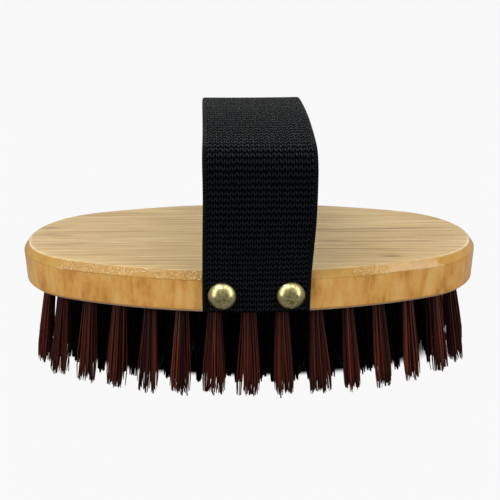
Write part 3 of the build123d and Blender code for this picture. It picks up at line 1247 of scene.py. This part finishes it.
@dataclass
class Strap:
    """Webbing strap: a legged arch over the block, which leans back and bends most over the near leg.

    The arch's shares are of the leg's Y, near side negative, and of the rise over the shoulder. Sway steps
    are in millimetres at shares of the strap's length. The strap follows the block's round side up to a share
    of its rise, and above that it waves and curls. Each nail presses its outer face in.
    """

    oval: Oval
    block_bottom: float
    block_top: float
    middle: float
    nails: dict[str, NailSeat]
    width: float = 44.5
    thickness: float = 1.8
    clearance: float = 0.1
    top_drop: float = 3.4
    end_margin: float = 1.2
    rise: float = 62.3
    arch_shares: tuple[tuple[float, float], ...] = (
        (-1.032, 0.226), (-1.040, 0.414), (-1.018, 0.614), (-0.998, 0.722), (-0.94, 0.793), (-0.81, 0.840),
        (-0.626, 0.883), (-0.258, 0.956), (0.0, 0.984), (0.187, 0.991), (0.374, 0.970), (0.72, 0.90),
        (0.925, 0.79), (1.017, 0.618), (1.039, 0.414), (1.032, 0.226),
    )
    sway_places: tuple[float, ...] = (0.0, 0.22, 0.5, 0.62, 0.86, 1.0)
    sway_steps: tuple[float, ...] = (-0.1, 1.6, -1.45, -2.55, -0.45, 0.0)
    held_share: float = 0.35
    held_power: float = 0.7
    half_waves: int = 5
    wave_height: float = 0.35
    curl: float = 0.15
    press_share: float = 0.28
    press_radius: float = 7.5
    across: int = 104
    edge_steps: int = 5
    rows: int = 420
    crease: float = 50.0
    finish: Webbing = Webbing()

    @property
    def leg(self) -> float:
        """Distance of the strap's middle layer from the X axis, beside the block."""
        return self.oval.half_width + self.clearance + self.thickness / 2

    def centreline(self) -> tuple[np.ndarray, np.ndarray]:
        """Y and Z of the strap's middle layer at equal lengths, and those lengths."""
        shoulder = self.block_top - self.top_drop
        apex = self.block_top + self.rise - self.thickness / 2
        foot = self.block_bottom + self.end_margin
        inner = np.array(self.arch_shares) * [self.leg, apex - shoulder] + [0.0, shoulder]
        arch = np.concatenate([[[-self.leg, shoulder]], inner, [[self.leg, shoulder]]])
        over = smooth_curve(arch, np.array([0.0, 1.0]), np.array([0.0, -1.0]), 8 * self.rows)
        line = np.concatenate([[[-self.leg, foot]], over, [[self.leg, foot]]])
        return evenly_spaced(line, self.rows)

    def build(self) -> bpy.types.Object:
        """Builds and dresses the strap.

        The surface is a closed flat section with round edges, carried along the centreline. A point moves
        across by its width, in or out along the line's outward direction, and in by the drop of the block's
        round side, R - sqrt(R^2 - x^2), which fades out as the arch rises. A sine wave and a parabola across
        the width bend the arch.

        Returns:
            The piece.
        """
        line, travelled = self.centreline()
        tangent = np.gradient(line, axis=0)
        tangent /= np.linalg.norm(tangent, axis=1, keepdims=True)
        normal = np.stack([-tangent[:, 1], tangent[:, 0]], -1)
        section, map_u = self._section()
        share = travelled / travelled[-1]
        sway = np.stack([np.array(self.sway_places), np.array(self.sway_steps) / self.width], -1)
        curve = smooth_curve(sway, np.array([1.0, 0.0]), np.array([1.0, 0.0]), self.rows)
        drift = np.interp(share, curve[:, 0], curve[:, 1]) * self.width
        wave = self.wave_height * np.sin(self.half_waves * math.pi * share) * np.sin(math.pi * share) ** 2
        aside = section[None, :, 0] / (self.width / 2)
        x = self.middle + drift[:, None] + section[None, :, 0]
        radius = self.oval.side_radius
        free = np.clip((line[:, 1] - self.block_top) / (self.held_share * self.rise), 0.0, 1.0)
        drop = (radius - np.sqrt(radius**2 - x**2)) * (1 - free)[:, None] ** self.held_power
        bend = free[:, None] * (wave[:, None] - self.curl * aside**2)
        out = section[None, :, 1] * self._pressed(line, x, section) - drop - bend
        points = np.stack([
            x,
            line[:, None, 0] + normal[:, None, 0] * out,
            line[:, None, 1] + normal[:, None, 1] * out,
        ], -1)
        return self._assemble(points, map_u, travelled)

    def _section(self) -> tuple[np.ndarray, np.ndarray]:
        """Closed section from the outer face's left end: across and out, and each point's map place."""
        half, deep = self.width / 2, self.thickness / 2
        flat = np.linspace(-half + deep, half - deep, self.across)
        angle = np.linspace(math.pi / 2, -math.pi / 2, self.edge_steps + 2)[1:-1]
        edge = np.stack([half - deep + deep * np.cos(angle), deep * np.sin(angle)], -1)
        outer = np.stack([flat, np.full_like(flat, deep)], -1)
        inner = np.stack([flat[::-1], np.full_like(flat, -deep)], -1)
        section = np.concatenate([outer, edge, inner, -edge])
        return section, section[:, 0] + half

    def _pressed(self, line: np.ndarray, x: np.ndarray, section: np.ndarray) -> np.ndarray:
        """Share of its thickness that the outer face keeps: less in a bell round each nail."""
        keep = np.ones_like(x)
        for seat in self.nails.values():
            same_side = (line[:, 0] * seat.side.value > 0)[:, None]
            distance = np.hypot(x - seat.x, (line[:, 1] - seat.z)[:, None])
            keep -= self.press_share * same_side * np.exp(-((distance / self.press_radius) ** 4))
        return np.where(section[None, :, 1] > 0, keep, 1.0)

    def _assemble(self, points: np.ndarray, map_u: np.ndarray, travelled: np.ndarray) -> bpy.types.Object:
        """Joins the grid into a closed piece with its map, in metres across and along."""
        rows, columns = points.shape[:2]
        cloud = points.reshape(-1, 3)
        faces = tube_faces(cloud, rows, columns)
        piece = make_piece("woven_hand_strap", cloud, faces)
        corner = np.concatenate(faces)
        u, v = map_u[corner % columns], travelled[corner // columns]
        layer = piece.data.uv_layers.new(name="cloth")
        layer.uv.foreach_set("vector", (np.stack([u, v], -1) * MM).astype(np.float32).ravel())
        piece.data.set_sharp_from_angle(angle=math.radians(self.crease))
        dress(piece, self.finish.material(self.width))
        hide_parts("hand_strap")
        flat = (self.width * MM, float(travelled[-1]) * MM)
        return piece


@dataclass
class Nails:
    """Four dome-head nails: thin domed heads with their shanks.

    The lip's points are offsets from the head's radius, and heights. Dents are shallow bells on the dome, and
    some are bumps.
    """

    seats: dict[str, NailSeat]
    head_radius: float = 5.9
    head_height: float = 3.3
    wall: float = 0.7
    lip: tuple[tuple[float, float], ...] = ((0.05, -0.18), (-0.2, -0.3))
    hollow_level: float = -0.25
    crown_radius: float = 3.7
    shank_radius: float = 0.6
    length: float = 10.8
    point: float = 2.2
    point_radius: float = 0.1
    dents: int = 24
    dent_spread: float = 1.7
    dent_sizes: tuple[float, float] = (0.45, 1.1)
    dent_depths: tuple[float, float] = (-0.02, 0.09)
    dented_above: float = 0.4
    around: int = 72
    steps: int = 18
    crease: float = 60.0
    seed: int = 7
    finish: Brass = Brass()

    def build(self) -> None:
        """Builds and dresses each nail."""
        draw = np.random.default_rng(self.seed)
        material = self.finish.material()
        for name, seat in self.seats.items():
            piece = self._nail(f"{name}_brass_nail", seat, draw)
            dress(piece, material)
            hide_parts(f"{name}_nail")

    def _profile(self) -> np.ndarray:
        """Radius and height from the dome's top, over the rim and the hollow underside, to the point."""
        dome = (self.head_radius**2 + self.head_height**2) / (2 * self.head_height)
        drop = dome - self.head_height
        inner = dome - self.wall
        inner_rim = math.sqrt(inner**2 - drop**2)
        outer_angle = np.linspace(0.0, math.asin(self.head_radius / dome), self.steps)
        inner_ends = math.asin(inner_rim / inner), math.asin(self.shank_radius / inner)
        inner_angle = np.linspace(*inner_ends, self.steps // 2)
        shell = np.stack([dome * np.sin(outer_angle), dome * np.cos(outer_angle) - drop], -1)
        hollow = np.stack([inner * np.sin(inner_angle), inner * np.cos(inner_angle) - drop], -1)
        lip = np.array(self.lip) + [self.head_radius, 0.0]
        shank = [[self.shank_radius, self.point - self.length], [self.point_radius, -self.length]]
        return np.concatenate([shell[1:], lip, [[inner_rim, self.hollow_level]], hollow, shank])

    def _local_points(self, profile: np.ndarray, draw: np.random.Generator) -> np.ndarray:
        """Revolves the profile about the nail's axis and dents the dome.

        A point is its radius round the axis and its height along it, less a sum of shallow bells at random
        places on the dome.

        Args:
            profile: Radius and height of each ring.
            draw: Source of the random dents.

        Returns:
            The dome's top, the rings and the tip of the point.
        """
        angle = np.linspace(0.0, 2 * math.pi, self.around, endpoint=False)
        flat = profile[:, None, :1] * np.stack([np.cos(angle), np.sin(angle)], -1)
        rise = np.broadcast_to(profile[:, None, 1:], (*flat.shape[:2], 1))
        top = [[0.0, 0.0, self.head_height]]
        tip = [[0.0, 0.0, -self.length - self.point_radius]]
        local = np.concatenate([top, np.concatenate([flat, rise], -1).reshape(-1, 3), tip])
        on_dome = local[:, 2] > self.dented_above
        for _ in range(self.dents):
            place = draw.normal(0.0, self.dent_spread, 2)
            size = draw.uniform(*self.dent_sizes)
            bell = np.exp(-((local[:, :2] - place) ** 2).sum(1) / size**2)
            local[:, 2] -= on_dome * draw.uniform(*self.dent_depths) * bell
        return local

    def _nail(self, name: str, seat: NailSeat, draw: np.random.Generator) -> bpy.types.Object:
        """Puts a nail at its seat, with its axis along the seat's outward direction.

        Args:
            name: Name of the piece.
            seat: Place of the rim's centre.
            draw: Source of the random dents.

        Returns:
            The piece.
        """
        profile = self._profile()
        local = self._local_points(profile, draw)
        out = np.array([math.sin(seat.turn), seat.side.value * math.cos(seat.turn), 0.0])
        up = np.array([0.0, 0.0, 1.0])
        axes = np.stack([np.cross(up, out), up, out])
        points = local @ axes + [seat.x, seat.y, seat.z]
        rows = len(profile)
        walls = grid_faces(rows, self.around, True) + 1
        ring = np.arange(self.around)
        beside = (ring + 1) % self.around
        crown = np.stack([np.zeros_like(ring), beside + 1, ring + 1], -1)
        first = 1 + (rows - 1) * self.around
        foot = np.stack([np.full_like(ring, first + self.around), ring + first, beside + first], -1)
        turned = outward(points, walls)
        if not np.array_equal(turned[0], walls[0]):
            crown, foot = crown[:, ::-1], foot[:, ::-1]
        piece = make_piece(name, points, [*turned.tolist(), *crown.tolist(), *foot.tolist()])
        give_values(piece, "crown", np.exp(-((local[:, :2] ** 2).sum(1) / self.crown_radius**2) ** 2))
        piece.data.set_sharp_from_angle(angle=math.radians(self.crease))
        return piece


@dataclass(frozen=True)
class Softbox:
    """Rectangular light: degrees to the right of the near side and above the horizon, millimetres, watts."""

    name: str
    azimuth: float
    elevation: float
    width: float
    height: float
    power: float


@dataclass
class Studio:
    """Pale floor and backdrop, soft lights and the camera.

    The floor's outline is a line outwards, a quarter circle and a line up. The shade's half lengths are those
    of the oval under the brush, and its edge is a range of the oval's radius. The sky's strengths are its
    lowest and its highest.
    """

    target: tuple[float, float, float] = (0.0, 0.0, 41.5)
    distance: float = 339.2
    elevation: float = 21.0
    azimuth: float = 0.4
    roll: float = -0.4
    lens: float = 50.4
    sensor: float = 36.0
    shift_x: float = 0.002
    shift_y: float = 0.036
    nearest: float = 10.0
    floor_middle: float = 200.0
    floor_reach: float = 1800.0
    floor_bend: float = 600.0
    wall_top: float = 2600.0
    bend_points: int = 20
    around: int = 96
    pale: Colour = (0.005, 0.005, 0.005)
    white: Colour = (1.0, 1.0, 1.0)
    shaded: Colour = (0.02, 0.02, 0.02)
    black: Colour = (0.0, 0.0, 0.0)
    glow: float = 0.940
    shade: tuple[float, float] = (93.0, 31.5)
    shade_edge: tuple[float, float] = (0.9, 1.05)
    sky_range: tuple[float, float] = (-0.1, 0.8)
    sky_strengths: tuple[float, float] = (0.3, 0.5)
    light_distance: float = 1000.0
    softboxes: tuple[Softbox, ...] = (
        Softbox("left_tall_softbox", -59.0, 20.0, 300.0, 1000.0, 3.2),
        Softbox("right_tall_softbox", 60.0, 20.0, 320.0, 1000.0, 3.4),
        Softbox("left_upper_softbox", -57.0, 56.0, 310.0, 110.0, 1.3),
        Softbox("right_upper_softbox", 46.0, 58.0, 130.0, 110.0, 0.6),
        Softbox("left_high_softbox", -29.0, 60.0, 300.0, 110.0, 1.7),
        Softbox("right_high_softbox", 31.0, 62.0, 180.0, 110.0, 0.65),
        Softbox("left_rear_softbox", -140.0, 30.0, 500.0, 700.0, 1.5),
        Softbox("right_rear_softbox", 140.0, 30.0, 500.0, 700.0, 1.5),
        Softbox("top_softbox", 180.0, 74.0, 900.0, 600.0, 0.6),
    )

    def build(self) -> None:
        """Sets the stage, lights and camera."""
        self._floor()
        for softbox in self.softboxes:
            self._light(softbox)
        self._surround()
        self._camera()

    def _floor(self) -> None:
        """Round floor that sweeps up into a wall, which is its outline turned round Z."""
        angle = np.linspace(-math.pi / 2, 0.0, self.bend_points)
        bend = np.stack([self.floor_reach + self.floor_bend * np.cos(angle),
                         self.floor_bend + self.floor_bend * np.sin(angle)], -1)
        edge = self.floor_reach + self.floor_bend
        line = np.concatenate([[[self.floor_middle, 0.0]], bend, [[edge, self.wall_top]]])
        turn = np.linspace(0.0, 2 * math.pi, self.around, endpoint=False)
        flat = line[:, None, :1] * np.stack([np.cos(turn), np.sin(turn)], -1)
        height = np.broadcast_to(line[:, None, 1:], (*flat.shape[:2], 1))
        points = np.concatenate([flat, height], -1).reshape(-1, 3)
        walls = grid_faces(len(line), self.around, True)[:, ::-1].tolist()
        mesh = bpy.data.meshes.new("pale_floor")
        mesh.from_pydata(points * MM, [], [list(range(self.around)), *walls], shade_flat=False)
        mesh.materials.append(self._paper())
        floor = bpy.data.objects.new("pale_floor", mesh)
        bpy.context.scene.collection.objects.link(floor)
        floor.visible_diffuse = False
        floor.visible_glossy = False
        floor.visible_shadow = False

    def _paper(self) -> bpy.types.Material:
        """Paper that glows evenly, so that it stays pale, but for an oval under the brush in its shade."""
        graph = Graph.named("pale_paper")
        x, y, _ = graph.axes()
        along, across = (half * MM for half in self.shade)
        away = ((x / along) ** 2.0 + (y / across) ** 2.0) ** 0.5
        open_share = away.between(*self.shade_edge)
        return graph.finish({
            "Base Color": graph.mix(self.shaded, self.pale, open_share),
            "Roughness": 0.9,
            "Specular IOR Level": 0.0,
            "Emission Color": graph.mix(self.black, self.white, open_share),
            "Emission Strength": self.glow,
        })

    def _surround(self) -> None:
        """White sky that grows brighter upwards."""
        world = bpy.data.worlds.new("surround")
        bpy.context.scene.world = world
        graph = Graph(world)
        _, _, height = graph.axes("Generated")
        low, high = self.sky_strengths
        strength = height.between(*self.sky_range) * (high - low) + low
        sky = graph.node("ShaderNodeBackground", sockets={"Color": self.white, "Strength": strength})
        graph.node("ShaderNodeOutputWorld", sockets={"Surface": sky.outputs[0]})

    @staticmethod
    def _direction(azimuth: float, elevation: float) -> Vector:
        """Unit direction (sin a cos e, -cos a cos e, sin e) from the target, for angles in degrees."""
        turn, rise = math.radians(azimuth), math.radians(elevation)
        return Vector((math.sin(turn) * math.cos(rise), -math.cos(turn) * math.cos(rise), math.sin(rise)))

    def _light(self, softbox: Softbox) -> None:
        """Adds a light that faces the target from the lights' distance."""
        away = self._direction(softbox.azimuth, softbox.elevation)
        data = bpy.data.lights.new(softbox.name, "AREA")
        data.shape = "RECTANGLE"
        data.size, data.size_y = softbox.width * MM, softbox.height * MM
        data.energy = softbox.power
        light = bpy.data.objects.new(softbox.name, data)
        light.location = (Vector(self.target) + away * self.light_distance) * MM
        light.rotation_euler = (-away).to_track_quat("-Z", "Y").to_euler()
        bpy.context.scene.collection.objects.link(light)

    def _camera(self) -> None:
        """Camera at the photograph's angle: it looks at the middle of the block's bottom face."""
        back = self._direction(self.azimuth, self.elevation)
        data = bpy.data.cameras.new("camera")
        data.lens = self.lens
        data.sensor_width = self.sensor
        data.shift_x, data.shift_y = self.shift_x, self.shift_y
        data.clip_start = self.nearest * MM
        roll = Matrix.Rotation(math.radians(self.roll), 3, "Z")
        turn = (-back).to_track_quat("-Z", "Y").to_matrix() @ roll
        place = (Vector(self.target) + back * self.distance) * MM
        camera = bpy.data.objects.new("camera", data)
        camera.matrix_world = Matrix.Translation(place) @ turn.to_4x4()
        bpy.context.scene.collection.objects.link(camera)
        bpy.context.scene.camera = camera


def main() -> None:
    """Builds every sub-assembly in order, dresses the anchors and sets the studio."""
    logging.basicConfig(level=logging.INFO, format="%(name)s: %(message)s")
    low, high = (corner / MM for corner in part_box("wooden_block"))
    left, right = (corner.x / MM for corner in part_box("hand_strap"))
    oval = Oval(half_length=high.x, half_width=BLOCK_WIDTH / 2, end_radius=BLOCK_END_RADIUS)
    tufts = Tufts(oval, trim=low.z)
    nails = NailPlan().seats(oval, tufts, low.z)
    Block(oval, bottom=low.z, thickness=high.z - low.z).build(tufts.build())
    Strap(oval, block_bottom=low.z, block_top=high.z, middle=(left + right) / 2, nails=nails).build()
    Nails(nails).build()
    wire = DrawnWire().material()
    for name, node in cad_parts.items():
        if "anchors" in name:
            dress(node, wire)
            log.info("%s: dressed", name)
    bpy.context.scene.view_settings.view_transform = "Standard"
    Studio().build()


if __name__ == "__main__":
    main()
